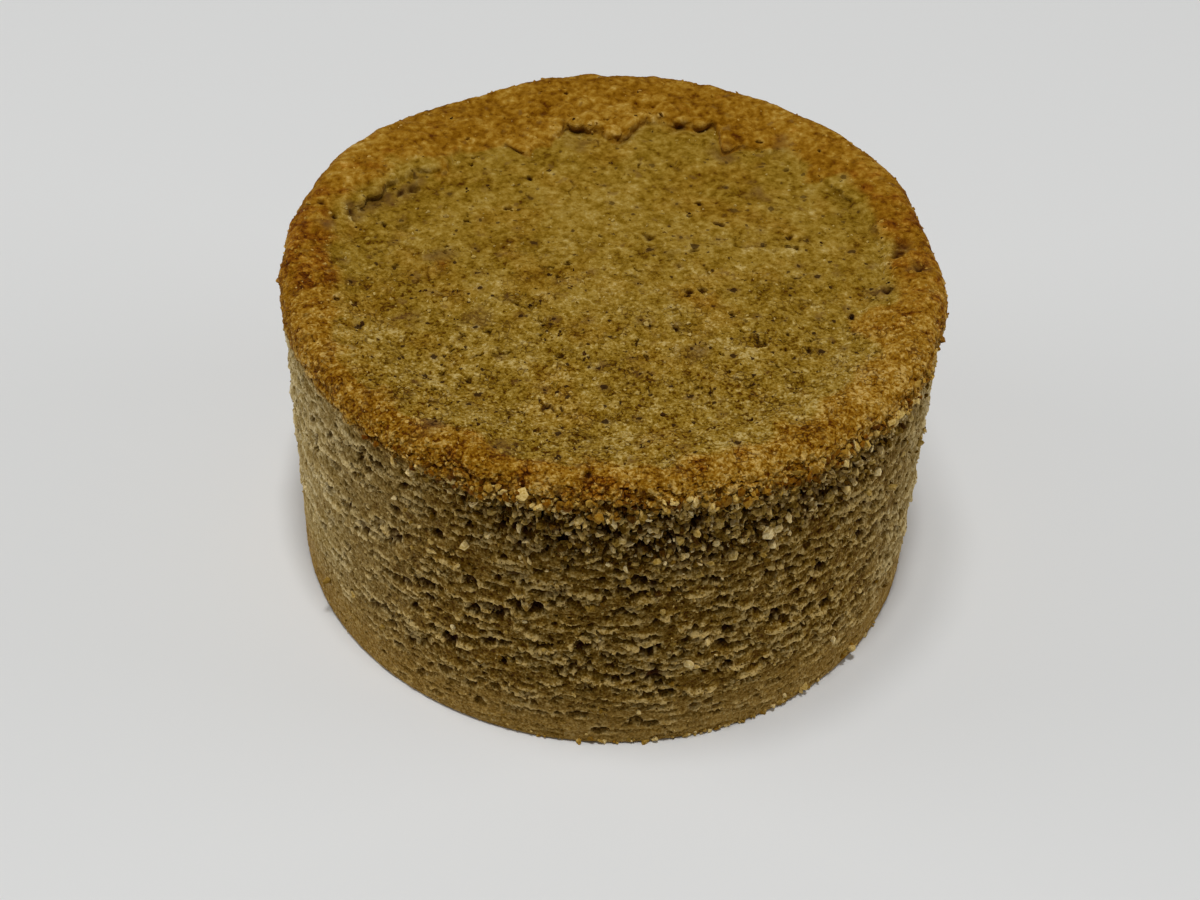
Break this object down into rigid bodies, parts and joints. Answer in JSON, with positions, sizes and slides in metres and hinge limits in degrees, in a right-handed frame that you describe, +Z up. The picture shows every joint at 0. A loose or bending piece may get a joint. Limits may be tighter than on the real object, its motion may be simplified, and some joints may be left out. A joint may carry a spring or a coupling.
{
  "type": "egg yolk pastry",
  "caption": "Round drum-shaped short pastry with a flat sunken top, a browned raised rim broken into a ledge at the back, and a rough wall torn into rows of small scales.",
  "frame": {"origin": "middle of the underside, on the surface the pastry stands on", "axes": "+Z up through the middle of the top; -Y towards the viewer, so that the broken ledge of the rim is on the +Y side"},
  "size_m": [0.0504, 0.0505, 0.0277],
  "materials": {
    "crumb": "baked short dough, matt and granular: olive brown on the top's middle and the wall, golden brown on the rim"
  },
  "bodies": {
    "root": {"pastry": "crumb"}
  },
  "joints": []
}
